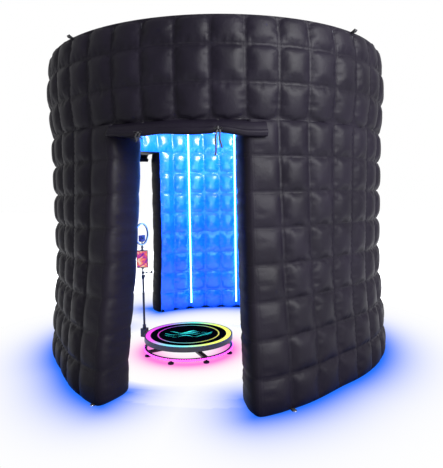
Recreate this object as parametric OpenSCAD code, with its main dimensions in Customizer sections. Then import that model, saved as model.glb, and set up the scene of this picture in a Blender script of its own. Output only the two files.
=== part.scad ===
// Inflatable 360-degree photo booth. A round, open-topped tent of quilted cloth stands on the
// floor, with two doorways. Inside it a lit platform carries an arm that turns a camera round it.
// The tent's axis is the Z axis and the floor is z = 0. The front door faces -Y.
// Angles round the tent are counted from -Y towards +X.

/* [Tent] */
// Radius of the outer cloth at its seams
tent_r = 1450; // [1250:10:1750]
// Thickness of the wall, from the outer seams to the inner seams
wall_w = 250; // [215:5:310]
// Quilt rows from the floor to the top
rows = 11; // [9:1:13]
// Height of one quilt row
row_h = 238; // [195:1:290]
// How much lower the top row is than the others
top_cut = 45; // [0:5:70]
// Rows above the doors
header_rows = 3; // [2:1:4]
// Quilt columns all the way round
cols = 40; // [36:4:44]
// How far the outer cloth swells between its seams
outer_bulge = 40; // [25:1:60]
// How far the inner cloth swells between its seams
inner_bulge = 25; // [15:1:40]
// How far the foot of the wall splays outwards
flare = 65; // [0:5:100]
// Rows over which the foot splays
flare_rows = 4; // [2:1:5]
// How far the rows above the doors stand proud of the rows below
header_proud = 20; // [0:1:30]
// How far the top seam is pulled in
top_pull = 30; // [0:1:45]
// Thickness that cloth is modelled at
cloth_t = 4; // [3:0.5:5]

/* [Doors] */
// Width of each door in quilt columns
door_cols = 4; // [3:1:5]
// Middle of the rear door, in columns from the middle of the front door
rear_door_col = -13; // [-15:1:-11]
// Radius of the rolled-up door curtain
roll_r = 22; // [15:1:30]
// Drop from the door head to the middle of the roll
roll_drop = 68; // [60:1:90]
// Angle that the roll passes the door on its far side
roll_extra = 5; // [1:0.5:7]
// Length of the long tail of a ribbon tie
long_tail = 170; // [80:5:220]
// Length of the short tail of a ribbon tie
short_tail = 60; // [40:5:75]

/* [Wall fittings] */
// Columns between light strips
strip_step = 3; // [2:1:5]
// Width of a light strip
strip_w = 16; // [10:1:24]
// Depth of a light strip
strip_t = 8; // [5:1:12]
// Height of a light strip's foot above the floor
strip_foot = 100; // [60:5:200]
// Gap between a light strip and the top of the wall
strip_head = 118; // [60:2:200]
// Outer radius of a blower's drum
blower_r = 72; // [55:1:80]
// Radius of the mains inlet
inlet_r = 16; // [12:1:20]
// Length of the deflation zip
zip_l = 520; // [300:10:700]
// Height of the zip's lower end
zip_foot = 200; // [120:5:300]

/* [Platform] */
// Place of the platform's middle, from the tent's axis towards +X
plat_x = -215; // [-260:5:0]
// Place of the platform's middle, from the tent's axis towards +Y
plat_y = -385; // [-400:5:0]
// Radius of the standing deck
deck_r = 400; // [350:5:450]
// Height of the top of the deck
deck_z = 150; // [146:1:180]
// Height of the skirt round the deck
skirt_h = 42; // [36:1:42]
// Outer radius of the outer light ring in the deck
outer_light_r = 388; // [350:1:388]
// Width of the outer light ring
outer_light_w = 43; // [20:1:50]
// Outer radius of the inner light ring
inner_light_r = 282; // [200:1:300]
// Width of the inner light ring
inner_light_w = 12; // [6:1:20]
// Side of the square tube of the lower hoop
hoop_w = 20; // [16:1:24]
// Number of feet under the hoop
feet = 8; // [4:4:8]
// Angle of the first spoke, from +X
spoke_angle = 36; // [0:1:80]

/* [Camera arm] */
// Angle of the arm at rest, from +X
arm_angle = 165; // [150:1:180]
// Distance from the platform's middle to the pole
pole_x = 480; // [460:5:520]
// Radius of the pulley on the arm's hub
hub_pulley_r = 90; // [80:1:95]
// Radius of the motor's pulley
motor_pulley_r = 15; // [12:1:20]
// Distance from the platform's middle to the motor
motor_x = 150; // [140:1:165]
// Outer radius of the lower pole tube
low_tube_r = 10; // [9:0.5:14]
// Outer radius of the upper pole tube
top_tube_r = 7.5; // [6:0.5:8]
// Height of the top of the lower tube
low_tube_top = 640; // [560:5:680]
// Height of the ring light's middle
ring_z = 1050; // [1020:5:1200]
// Outer radius of the ring light
ring_r = 105; // [90:1:130]
// Width of the ring light's band
ring_band = 13; // [10:1:20]
// Width of the tablet
tablet_w = 106; // [90:1:135]
// Height of the tablet
tablet_h = 166; // [140:1:175]

/* [Hidden] */
$fn = 96;
big_fn = 180;

// Clearance between pieces that fit together
fit = 0.3;
// Straight steps that draw one swelling of the cloth
steps = 4;
web_t = 3;

// ---- tent: sizes worked out from the seams ----
// Height of the seam at row number k, counted from the floor
function row_z(k) = k * row_h - top_cut * max(0, k - rows + 1);
tent_h = row_z(rows);
door_rows = rows - header_rows;
door_h = door_rows * row_h;
col_deg = 360 / cols;
half_door = door_cols * col_deg / 2;
rear_door = rear_door_col * col_deg;
left_from = rear_door + half_door;
left_to = -half_door;
right_from = half_door;
right_to = rear_door + 360 - half_door;
jamb_deg = asin(cloth_t / (tent_r - wall_w));

function smooth(u) = let (v = min(1, max(0, u))) v * v * (3 - 2 * v);
// Seam radius of the outer and the inner cloth at height z
function seam_out(z) = tent_r + flare * smooth(1 - z / (flare_rows * row_h))
    + header_proud * smooth((z - door_h) / row_h)
    - top_pull * smooth((z - tent_h + row_h) / row_h);
function seam_in(z) = seam_out(z) - wall_w;
function seam_mid(z) = seam_out(z) - wall_w / 2;
// Swelling, from 0 at a seam to 1 half way between two seams
function swell(i) = pow(sin(180 * (i % steps) / steps), 0.8);
// Points up the outside of the outer cloth, or up the inside of the inner cloth
function outer_line(k0, k1, inset) = [for (i = [k0 * steps : k1 * steps])
    let (z = row_z(i / steps)) [seam_out(z) + outer_bulge * swell(i) - inset, max(z, cloth_t)]];
function inner_line(k0, k1, inset) = [for (i = [k0 * steps : k1 * steps])
    let (z = row_z(i / steps)) [seam_in(z) - inner_bulge * swell(i) + inset, max(z, cloth_t)]];
function back(line) = [for (i = [len(line) - 1 : -1 : 0]) line[i]];

// Turns the +X axis to an angle round the tent
module at(phi) rotate([0, 0, phi - 90]) children();
// Sweeps a profile from one angle round the tent to another
module sector(phi0, phi1) at(phi0) rotate_extrude(angle = phi1 - phi0, $fn = big_fn) children();

module outer_cloth(k0, k1) polygon(concat(outer_line(k0, k1, 0), back(outer_line(k0, k1, cloth_t))));
module inner_cloth(k0, k1) polygon(concat(inner_line(k0, k1, cloth_t), back(inner_line(k0, k1, 0))));

module header_outer_skin() color("#2b2a33") rotate_extrude($fn = big_fn) outer_cloth(door_rows, rows);
module header_inner_skin() color("#4aa3ff") rotate_extrude($fn = big_fn) inner_cloth(door_rows, rows);

module left_wall_outer_skin() color("#2b2a33")
    sector(left_from + jamb_deg, left_to - jamb_deg) outer_cloth(0, door_rows);
module left_wall_inner_skin() color("#4aa3ff")
    sector(left_from + jamb_deg, left_to - jamb_deg) inner_cloth(0, door_rows);
module right_wall_inner_skin() color("#4aa3ff")
    sector(right_from + jamb_deg, right_to - jamb_deg) inner_cloth(0, door_rows);
module right_wall_outer_skin() color("#2b2a33") difference() {
    sector(right_from + jamb_deg, right_to - jamb_deg) outer_cloth(0, door_rows);
    for (phi = blower_at) at(phi) translate([0, 0, fitting_z])
        rotate([0, 90, 0]) cylinder(r = blower_r + fit, h = 2 * tent_r);
    at(inlet_at) translate([0, 0, fitting_z])
        rotate([0, 90, 0]) cylinder(r = inlet_r + fit, h = 2 * tent_r);
}

// Domed cloth that closes the wall at the top
dome_h = 30;
function dome_line(lift) = [for (i = [0 : 2 * steps]) let (u = i / (2 * steps))
    [seam_in(tent_h) + wall_w * u, tent_h + dome_h * sin(180 * u) + lift]];
module top_panel() color("#2b2a33") rotate_extrude($fn = big_fn)
    polygon(concat(dome_line(0), back(dome_line(cloth_t))));

// Cloth under each stretch of wall
module base_strip() translate([seam_in(0), 0]) square([wall_w, cloth_t]);
module base_panels() color("#232229") {
    sector(left_from, left_to) base_strip();
    sector(right_from, right_to) base_strip();
}

// Cloth that closes the wall at the sides of a door
module wall_section() polygon(concat(outer_line(0, door_rows, 0), back(inner_line(0, door_rows, 0))));
module front_door_jambs() color("#1f1e27") {
    sector(left_to - jamb_deg, left_to) wall_section();
    sector(right_from, right_from + jamb_deg) wall_section();
}
module rear_door_jambs() color("#1f1e27") {
    sector(left_from, left_from + jamb_deg) wall_section();
    sector(right_to - jamb_deg, right_to) wall_section();
}

// Cloth that closes the wall above a door
module door_lintels() color("#1f1e27") for (phi = [0, rear_door])
    sector(phi - half_door, phi + half_door)
        translate([seam_in(door_h), door_h - cloth_t]) square([wall_w, cloth_t]);

// Inner webs that hold the two cloths together: upright ones with notches in their inner half,
// level ones with slots in their outer half, so that they cross without touching
function in_door(k, mid) = abs((k - mid + 1.5 * cols) % cols - cols / 2) <= door_cols / 2;
function under_door(k) = in_door(k, 0) || in_door(k, rear_door_col);
module upright_web(k0) {
    edge = cloth_t + fit;
    notch = web_t / 2 + fit;
    outer = [for (k = [k0 : rows]) let (z = row_z(k))
        [seam_out(z) - edge, min(max(z, k0 * row_h + edge), tent_h - fit)]];
    inner = [for (k = [rows : -1 : k0]) let (z = row_z(k), in_r = seam_in(z) + edge)
        each (k == rows ? [[in_r, tent_h - fit]] : k == k0 ? [[in_r, z + edge]]
            : [[in_r, z + notch], [seam_mid(z), z + notch], [seam_mid(z), z - notch], [in_r, z - notch]])];
    rotate([90, 0, 0]) translate([0, 0, -web_t / 2]) linear_extrude(web_t) polygon(concat(outer, inner));
}
module vertical_baffles() color("#d8dde6") for (k = [0 : cols - 1])
    at(k * col_deg) upright_web(under_door(k) ? door_rows : 0);

module level_web(z) {
    translate([0, 0, z - web_t / 2]) difference() {
        cylinder(r = seam_out(z) - cloth_t - fit, h = web_t, $fn = big_fn);
        translate([0, 0, -1]) cylinder(r = seam_in(z) + cloth_t + fit, h = web_t + 2, $fn = big_fn);
        for (k = [0 : cols - 1]) at(k * col_deg)
            translate([seam_mid(z) - fit, -web_t / 2 - fit, -1])
                cube([wall_w, web_t + 2 * fit, web_t + 2]);
    }
}
module level_web_part(z, phi0, phi1) translate([0, 0, z - web_t / 2]) difference() {
    sector(phi0, phi1) translate([seam_in(z) + cloth_t + fit, 0])
        square([wall_w - 2 * (cloth_t + fit), web_t]);
    for (k = [ceil(phi0 / col_deg) : floor(phi1 / col_deg)]) at(k * col_deg)
        translate([seam_mid(z) - fit, -web_t / 2 - fit, -1])
            cube([wall_w, web_t + 2 * fit, web_t + 2]);
}
module ring_baffles() color("#d8dde6") {
    for (k = [door_rows + 1 : rows - 1]) level_web(k * row_h);
    for (k = [1 : door_rows]) {
        level_web_part(k * row_h, left_from + 2 * jamb_deg, left_to - 2 * jamb_deg);
        level_web_part(k * row_h, right_from + 2 * jamb_deg, right_to - 2 * jamb_deg);
    }
}

// ---- door curtains, rolled up and tied over each door ----
roll_x = tent_r + outer_bulge + roll_r + 3;
roll_z = door_h - roll_drop;
// Places of the two ribbon ties from the middle of a door, and half the slot left for each
tie_short = -half_door / 2;
tie_long = half_door * 0.6;
tie_slot = 0.4;
module curtain(mid, over_left, over_right) {
    sector(mid - half_door - over_left, mid + half_door + over_right)
        translate([roll_x, roll_z]) circle(r = roll_r);
    stops = [-half_door, tie_short, tie_long, half_door];
    for (i = [0 : 2]) sector(mid + stops[i] + tie_slot, mid + stops[i + 1] - tie_slot) polygon([
        [tent_r - 10, door_h - cloth_t - fit], [tent_r - 10 + cloth_t, door_h - cloth_t - fit],
        [roll_x, roll_z + roll_r - 2], [roll_x - 6, roll_z + roll_r - 4]]);
}
module front_curtain() color("#26252e") curtain(0, 1, roll_extra);
module rear_curtain() color("#26252e") curtain(rear_door, 1, 1);

// A ribbon round the roll, with a tail hanging from it
tie_w = 14;
tie_t = 1.8;
module ribbon(phi, tail) at(phi) translate([roll_x, 0, roll_z]) {
    rotate([90, 0, 0]) difference() {
        cylinder(r = roll_r + fit + tie_t, h = tie_w, center = true);
        cylinder(r = roll_r + fit, h = tie_w + 2, center = true);
    }
    translate([roll_r + fit, -tie_w / 2, -tail]) cube([tie_t, tie_w, tail]);
}
module curtain_ties() color("#1b1a20") for (mid = [0, rear_door]) {
    ribbon(mid + tie_short, short_tail);
    ribbon(mid + tie_long, long_tail);
}

// Webbing tabs for guy lines at the top and for pegs at the floor
tab_w = 30;
tab_t = 3;
top_tabs = [for (i = [0 : 3]) (10 * i - 4) * col_deg];
peg_tabs = [left_to - 2, right_from + 9, right_from + 72, right_from + 135,
    right_to - 3, left_from + 3];
module tie_down_tabs() color("#1b1a20") {
    for (phi = top_tabs) at(phi)
        translate([seam_out(tent_h) + fit, -tab_w / 2, tent_h + 0.5]) cube([35, tab_w, tab_t]);
    for (phi = peg_tabs) at(phi)
        translate([seam_out(0) + fit, -tab_w / 2, 0.5]) cube([45, tab_w, tab_t]);
}

// Light strips up the inner wall
strip_out = tent_r - wall_w - inner_bulge - fit;
strip_cols = [for (k = [door_cols / 2 + strip_step : strip_step : cols - 1])
    if (!under_door(k)) k];
module wall_led_strips() color("#a8fbff") for (k = strip_cols) at(k * col_deg)
    translate([strip_out - strip_t, -strip_w / 2, strip_foot])
        cube([strip_t, strip_w, tent_h - strip_head - strip_foot]);

// ---- blowers, mains inlet and light driver in the lowest row of the wall ----
fitting_z = row_h / 2;
fitting_r = seam_out(fitting_z) + outer_bulge;
blower_at = [10.5 * col_deg, 14.5 * col_deg];
inlet_at = 12.5 * col_deg;
drum_l = 165;
drum_wall = 3;
drum_back = fitting_r - drum_l;
motor_l = 46;
shaft_r = 4;
module along_blower(phi, x) at(phi) translate([x, 0, fitting_z]) rotate([0, 90, 0]) children();

module blower_housings() color("#30343a") for (phi = blower_at)
    along_blower(phi, drum_back) difference() {
        cylinder(r = blower_r, h = drum_l);
        translate([0, 0, drum_wall + 1]) cylinder(r = blower_r - drum_wall, h = drum_l);
        for (a = [0 : 60 : 300]) rotate([0, 0, a]) translate([blower_r * 0.69, 0, -1])
            cylinder(r = 13, h = drum_wall + 3);
    }
module blower_motors() color("#8b9099") for (phi = blower_at)
    along_blower(phi, drum_back + drum_wall + 1) {
        cylinder(r = 30, h = motor_l);
        cylinder(r = shaft_r, h = motor_l + 36);
    }
module blower_grilles() color("#1d1d22") for (phi = blower_at)
    along_blower(phi, fitting_r + 1) linear_extrude(4) difference() {
        circle(r = blower_r + 12);
        for (i = [-2 : 2]) translate([i * 24, 0])
            square([14, 2 * sqrt(pow(blower_r - 6, 2) - pow(abs(i) * 24 + 7, 2))], center = true);
    }
module fan(phi) color("#c9ced6") along_blower(phi, drum_back + drum_wall + 2 + motor_l)
    difference() {
        union() {
            cylinder(r = 20, h = 30);
            for (a = [0 : 60 : 300]) rotate([0, 0, a]) translate([0, 0, 15])
                rotate([35, 0, 0]) translate([10, -1.5, -13]) cube([blower_r - 16, 3, 26]);
        }
        translate([0, 0, -8]) cylinder(r = shaft_r + fit, h = 60);
    }
module blower_fan_1() fan(blower_at[0]);
module blower_fan_2() fan(blower_at[1]);

inlet_l = 55;
module power_inlet() color("#15151a") along_blower(inlet_at, fitting_r - inlet_l) difference() {
    union() {
        cylinder(r = inlet_r, h = inlet_l + 1);
        translate([0, 0, inlet_l + 1]) cylinder(r = inlet_r + 9, h = 4);
    }
    translate([0, 0, inlet_l - 14]) cylinder(r = inlet_r - 4, h = 30);
}
module led_driver() color("#3a3d44") at(inlet_at)
    translate([fitting_r - inlet_l - 64, -60, fitting_z - 30]) cube([64, 120, 60]);

// Deflation zip on the side panel of the rear door
zip_x = tent_r - wall_w / 2;
tape_w = 30;
tape_t = 2;
module zip_tape() color("#101014") at(left_from)
    translate([zip_x - tape_w / 2, -tape_t - fit, zip_foot]) cube([tape_w, tape_t, zip_l]);
module zip_slider() color("#b9bec6") at(left_from) translate([zip_x, -tape_t - 2 * fit, zip_foot]) {
    translate([-7, -7, 4]) cube([14, 7, 20]);
    translate([-4, -7, -24]) cube([8, 2, 30]);
}

// ---- platform ----
hoop_z0 = 30;
hoop_wall = 2;
spokes = 4;
collar_r = 70;
collar_top = 66;
spindle_r = 30;
pulley_z0 = collar_top + 4;
pulley_h = 14;
hub_top = pulley_z0 + pulley_h + 4;
arm_h = 16;
frame_z0 = hub_top + arm_h + 6;
top_t = 12;
light_depth = 6;
skirt_t = 6;
plate_t = 4;
module on_platform() translate([plat_x, plat_y, 0]) children();
module ring(r0, r1, h) rotate_extrude($fn = big_fn) translate([r0, 0]) square([r1 - r0, h]);

module foot_pads() color("#141417") on_platform() for (i = [0 : feet - 1])
    rotate([0, 0, spoke_angle + i * 360 / feet]) translate([deck_r - hoop_w / 2, 0, 0]) {
        cylinder(r = 25, h = 12);
        cylinder(r = 8, h = hoop_z0);
    }
module lower_hoop() color("#3c3d42") on_platform() translate([0, 0, hoop_z0])
    rotate_extrude($fn = big_fn) translate([deck_r - hoop_w, 0]) difference() {
        square(hoop_w);
        translate([hoop_wall, hoop_wall]) square(hoop_w - 2 * hoop_wall);
    }
module hoop_led_strip() color("#ff3df0") on_platform() translate([0, 0, hoop_z0 + 4])
    ring(deck_r + fit, deck_r + 4, hoop_w - 8);
module base_spokes() color("#3c3d42") on_platform() for (i = [0 : spokes - 1])
    rotate([0, 0, spoke_angle + i * 360 / spokes]) rotate([90, 0, 0])
        translate([0, 0, -20]) linear_extrude(40) polygon([
            [collar_r + fit, hoop_z0 + 10], [collar_r + fit, collar_top - plate_t - 1],
            [deck_r - hoop_w - 0.8, hoop_z0 + hoop_w], [deck_r - hoop_w - 0.8, hoop_z0 + 2]]);

motor_angle = spoke_angle + 45;
motor_r = 35;
module centre_column() color("#2c2d32") on_platform() difference() {
    union() {
        translate([0, 0, 36]) cylinder(r = collar_r, h = collar_top - 36);
        cylinder_between(spindle_r, collar_top - 1, frame_z0);
        rotate([0, 0, motor_angle]) translate([collar_r - 10, -40, collar_top - plate_t])
            cube([motor_x + 45 - collar_r + 10, 80, plate_t]);
    }
    rotate([0, 0, motor_angle]) translate([motor_x, 0, 0]) cylinder(r = 8, h = 100);
}
module cylinder_between(r, z0, z1) translate([0, 0, z0]) cylinder(r = r, h = z1 - z0);

// Ball bearing that the arm's hub turns on
race_w = 8;
hub_bore = 55;
module bearing_inner_race() color("#c7ccd3") on_platform() translate([0, 0, collar_top])
    difference() {
        cylinder(r = spindle_r + fit + race_w, h = hub_top - collar_top);
        translate([0, 0, -1]) cylinder(r = spindle_r + fit, h = 60);
    }
module bearing_outer_race() color("#c7ccd3") on_platform() translate([0, 0, pulley_z0])
    difference() {
        cylinder(r = hub_bore - fit, h = hub_top - pulley_z0);
        translate([0, 0, -1]) cylinder(r = hub_bore - fit - race_w, h = 60);
    }
ball_track = (spindle_r + hub_bore) / 2;
ball_r = (hub_bore - spindle_r - 2 * race_w - 2 * fit) / 2 - fit;
module bearing_balls() color("#e4e8ee") on_platform() for (a = [0 : 20 : 340])
    rotate([0, 0, a]) translate([ball_track, 0, (pulley_z0 + hub_top) / 2])
        sphere(r = ball_r, $fn = 32);

module deck_frame() color("#34353a") on_platform() {
    translate([0, 0, frame_z0]) cylinder(r = deck_r - skirt_t - fit, h = plate_t);
    for (a = [0 : 45 : 315]) rotate([0, 0, a]) translate([60, -3, frame_z0])
        cube([deck_r - skirt_t - 64, 6, deck_z - top_t - frame_z0]);
    translate([0, 0, frame_z0]) cylinder(r = 64, h = deck_z - top_t - frame_z0);
}
module deck_skirt() color("#46474c") on_platform() translate([0, 0, deck_z - skirt_h])
    ring(deck_r - skirt_t, deck_r, skirt_h);
module deck_top() color("#0c0c0e") on_platform() difference() {
    translate([0, 0, deck_z - top_t]) cylinder(r = deck_r - skirt_t - fit, h = top_t);
    translate([0, 0, deck_z - light_depth]) {
        ring(outer_light_r - outer_light_w, outer_light_r, top_t);
        ring(inner_light_r - inner_light_w, inner_light_r, top_t);
    }
}
module light_ring(r, w) on_platform() translate([0, 0, deck_z - light_depth])
    ring(r - w + fit, r - fit, light_depth);
module deck_outer_light() color("#ffe94a") light_ring(outer_light_r, outer_light_w);
module deck_inner_light() color("#7dff9a") light_ring(inner_light_r, inner_light_w);

// ---- drive ----
module at_motor() on_platform() rotate([0, 0, motor_angle]) translate([motor_x, 0, 0]) children();
motor_shaft_r = 5;
module gear_motor() color("#9aa0a8") at_motor() {
    translate([0, 0, 14]) cylinder(r = motor_r, h = collar_top - plate_t - 14);
    translate([0, 0, 50]) cylinder(r = motor_shaft_r, h = pulley_z0 + pulley_h - 50);
}
module motor_pulley() color("#d7dbe1") at_motor() translate([0, 0, pulley_z0]) difference() {
    cylinder(r = motor_pulley_r, h = pulley_h);
    translate([0, 0, -1]) cylinder(r = motor_shaft_r + fit, h = pulley_h + 2);
}
// Outline of a belt round two pulleys, with its straight runs on their common tangents
belt_steps = 48;
module belt_outline(r1, r2, d) {
    tilt = acos((r1 - r2) / d);
    polygon(concat(
        [for (i = [0 : belt_steps]) let (a = tilt + (360 - 2 * tilt) * i / belt_steps)
            [r1 * cos(a), r1 * sin(a)]],
        [for (i = [0 : belt_steps / 2]) let (a = 4 * tilt * i / belt_steps - tilt)
            [d + r2 * cos(a), r2 * sin(a)]]));
}
belt_t = 3;
module drive_belt() color("#0f0f12") on_platform() rotate([0, 0, motor_angle])
    translate([0, 0, pulley_z0 + 1]) linear_extrude(pulley_h - 2) difference() {
        belt_outline(hub_pulley_r + fit + belt_t, motor_pulley_r + fit + belt_t, motor_x);
        belt_outline(hub_pulley_r + fit, motor_pulley_r + fit, motor_x);
    }

// Control box behind the hoop, with its switch and knob above the hoop
box_w = 110;
box_front = sqrt(pow(deck_r - hoop_w - 0.6, 2) - pow(box_w / 2, 2));
box_z0 = 34;
box_z1 = 84;
key_z = 67;
key_w = 22;
key_h = 16;
key_depth = 6;
key_gap = 0.5;
module at_box() on_platform() rotate([0, 0, motor_angle]) translate([box_front, 0, 0]) children();
module control_box() color("#1a1a1e") at_box() difference() {
    translate([-88, -box_w / 2, box_z0]) cube([88, box_w, box_z1 - box_z0]);
    translate([-key_depth, -25 - key_w / 2, key_z - key_h / 2]) cube([2 * key_depth, key_w, key_h]);
    translate([-key_depth, 25, key_z]) rotate([0, 90, 0]) cylinder(r = 3 + fit, h = 2 * key_depth);
}
module power_switch() color("#c7232b") at_box()
    translate([0, -25, key_z - key_h / 2 + key_gap]) {
        translate([-2.7, key_gap - key_w / 2, 0]) cube([5.5, key_w - 2 * key_gap, key_h - 2 * key_gap]);
        cylinder(r = 3.4, h = key_h - 2 * key_gap);
    }
module speed_knob() color("#d0d3d8") at_box() translate([0, 25, key_z]) rotate([0, 90, 0]) {
    translate([0, 0, -4]) cylinder(r = 3, h = 6);
    translate([0, 0, fit]) cylinder(r = 9, h = 8);
}

// ---- camera arm: its own +X axis points out along the arm ----
module on_arm() on_platform() rotate([0, 0, arm_angle]) children();
module arm_hub() color("#55575d") on_platform() difference() {
    union() {
        cylinder_between(hub_pulley_r, pulley_z0, pulley_z0 + pulley_h);
        cylinder_between(hub_pulley_r + 8, pulley_z0 + pulley_h, hub_top);
    }
    cylinder(r = hub_bore, h = 200);
}
arm_w = 50;
arm_wall = 2;
bracket_l = 50;
bracket_x = pole_x - bracket_l / 2;
module arm_beam() color("#1e1e22") on_arm() difference() {
    translate([hub_bore + 3, -arm_w / 2, hub_top]) cube([bracket_x - hub_bore - 3, arm_w, arm_h]);
    translate([hub_bore, -arm_w / 2 + arm_wall, hub_top + arm_wall])
        cube([bracket_x, arm_w - 2 * arm_wall, arm_h - 2 * arm_wall]);
}
bracket_z0 = 70;
bracket_z1 = 150;
tube_foot = bracket_z0 + 10;
module pole_bracket() color("#17171a") on_arm() difference() {
    union() {
        translate([bracket_x, -30, bracket_z0]) cube([bracket_l, 60, bracket_z1 - bracket_z0]);
        translate([pole_x, 0, bracket_z1 - 1]) cylinder(r = low_tube_r + 6, h = 35);
    }
    translate([pole_x, 0, tube_foot]) cylinder(r = low_tube_r + fit, h = 200);
}
low_tube_wall = low_tube_r - top_tube_r - 1;
module lower_tube() color("#1a1a1d") on_arm() translate([pole_x, 0, tube_foot]) difference() {
    cylinder(r = low_tube_r, h = low_tube_top - tube_foot);
    translate([0, 0, 5]) cylinder(r = low_tube_r - low_tube_wall, h = low_tube_top);
}
collar_z0 = low_tube_top - 15;
collar_z1 = low_tube_top + 20;
knob_z = low_tube_top + 10;
// Gap between the loosened clamp screw and the tube
screw_gap = 2;
collar_out = low_tube_r + 6;
screw_r = 3;
module clamp_collar() color("#121214") on_arm() translate([pole_x, 0, 0]) difference() {
    cylinder_between(collar_out, collar_z0, collar_z1);
    cylinder_between(low_tube_r + fit, collar_z0 - 1, low_tube_top);
    cylinder_between(top_tube_r + fit, low_tube_top - 1, collar_z1 + 1);
    translate([0, 0, knob_z]) rotate([90, 0, 0]) cylinder(r = screw_r + fit, h = 60);
}
module clamp_knob() color("#2a2a2e") on_arm() translate([pole_x, 0, knob_z]) rotate([90, 0, 0]) {
    translate([0, 0, collar_out + 1]) cylinder(r = 10, h = 12);
    translate([0, 0, top_tube_r + screw_gap])
        cylinder(r = screw_r, h = collar_out + 4 - top_tube_r - screw_gap);
}
ball_z = ring_z - ring_r - 10;
tilt_r = 8;
module upper_tube() color("#1f1f23") on_arm() translate([pole_x, 0, 0]) difference() {
    union() {
        cylinder_between(top_tube_r, 320, ball_z - 5);
        cylinder_between(top_tube_r + 3.5, ball_z - 18, ball_z - 1);
    }
    translate([0, 0, ball_z]) sphere(r = tilt_r + fit);
}
ring_t = 12;
// Ring light, which faces the platform's middle and tilts on a ball under it
module ring_light() color("#2e2e33") on_arm() translate([pole_x, 0, 0]) {
    translate([-ring_t / 2, 0, ring_z]) rotate([0, 90, 0]) difference() {
        cylinder(r = ring_r, h = ring_t);
        translate([0, 0, -1]) cylinder(r = ring_r - ring_band, h = ring_t + 2);
        translate([0, 0, -1]) difference() {
            cylinder(r = ring_r - 2, h = 4);
            cylinder(r = ring_r - ring_band + 2, h = 4);
        }
    }
    translate([0, 0, ball_z]) sphere(r = tilt_r);
    cylinder_between(4, ball_z, ring_z - ring_r + 4);
}
module ring_diffuser() color("#f4f6ff") on_arm() translate([pole_x - ring_t / 2 - 1, 0, ring_z])
    rotate([0, 90, 0]) difference() {
        cylinder(r = ring_r - 2 - fit, h = 4 - fit);
        translate([0, 0, -1]) cylinder(r = ring_r - ring_band + 2 + fit, h = 6);
    }
// Holder inside the ring, with a compact camera that looks at the platform
cam_w = 70;
cam_h = 56;
cam_t = 26;
cam_z0 = ring_z - ring_r + ring_band + 26;
module camera_clamp() color("#151518") on_arm() translate([pole_x, 0, 0]) {
    stem_z0 = ring_z - ring_r + ring_band + 0.5;
    translate([-4, -4, stem_z0]) cube([8, 8, cam_z0 - stem_z0]);
    translate([-cam_t / 2, -18, cam_z0 - 5]) cube([cam_t, 36, 5]);
}
module camera() color("#5a4d78") on_arm() translate([pole_x, 0, cam_z0]) {
    translate([-cam_t / 2, -cam_w / 2, 0]) cube([cam_t, cam_w, cam_h]);
    translate([-cam_t / 2 - 9, 16, cam_h - 20]) rotate([0, 90, 0]) cylinder(r = 14, h = 12);
}
// Tablet on the pole, which swivels round it
tablet_face = 120;
tablet_z0 = 734;
tablet_t = 9;
module on_tablet() on_arm() translate([pole_x, 0, 0]) rotate([0, 0, tablet_face]) children();
clip_x = top_tube_r + 12;
module tablet_clamp() color("#131316") on_tablet() {
    mid = tablet_z0 + tablet_h / 2;
    difference() {
        union() {
            cylinder_between(top_tube_r + 7, mid - 16, mid + 16);
            translate([0, -12, mid - 14]) cube([clip_x, 24, 28]);
        }
        cylinder_between(top_tube_r + fit, 0, 2000);
    }
    translate([clip_x - 5, -14, tablet_z0 - 7]) cube([5, 28, tablet_h + 14]);
    for (z = [tablet_z0 - 7, tablet_z0 + tablet_h + fit])
        translate([clip_x - 1, -14, z]) cube([tablet_t + 6, 28, 7 - fit]);
}
module tablet() color("#23232a") on_tablet() translate([clip_x + fit, -tablet_w / 2, tablet_z0])
    cube([tablet_t, tablet_w, tablet_h]);
// Small accessory arm under the tablet
side_z = 684;
side_face = -154;
side_l = 92;
module side_arm() color("#161619") on_arm() translate([pole_x, 0, 0]) rotate([0, 0, side_face]) {
    difference() {
        cylinder_between(top_tube_r + 6, side_z - 9, side_z + 9);
        cylinder_between(top_tube_r + fit, 0, 2000);
    }
    translate([top_tube_r + 3, -3.5, side_z - 3.5]) cube([side_l - top_tube_r - 3, 7, 7]);
    translate([28, -7, side_z - 7]) cube([14, 14, 14]);
    translate([side_l - 18, -9, side_z - 7]) cube([18, 18, 24]);
}

header_outer_skin();
header_inner_skin();
left_wall_outer_skin();
left_wall_inner_skin();
right_wall_outer_skin();
right_wall_inner_skin();
top_panel();
base_panels();
front_door_jambs();
rear_door_jambs();
door_lintels();
vertical_baffles();
ring_baffles();
front_curtain();
rear_curtain();
curtain_ties();
tie_down_tabs();
wall_led_strips();
led_driver();
power_inlet();
blower_housings();
blower_motors();
blower_grilles();
blower_fan_1();
blower_fan_2();
zip_tape();
zip_slider();
foot_pads();
lower_hoop();
hoop_led_strip();
base_spokes();
centre_column();
bearing_inner_race();
bearing_outer_race();
bearing_balls();
deck_frame();
deck_skirt();
deck_top();
deck_outer_light();
deck_inner_light();
gear_motor();
motor_pulley();
drive_belt();
control_box();
power_switch();
speed_knob();
arm_hub();
arm_beam();
pole_bracket();
lower_tube();
clamp_collar();
clamp_knob();
upper_tube();
ring_light();
ring_diffuser();
camera_clamp();
camera();
tablet_clamp();
tablet();
side_arm();
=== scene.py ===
# Inflatable 360-degree photo booth: a round tent of quilted cloth, black outside and silver inside, with the
# strips' blue light painted into the silver, and a lit platform in it whose arm turns a camera round whoever
# stands there.
import math
import random

import bmesh
import bpy
import numpy as np
from mathutils import Matrix, Vector, noise


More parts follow.
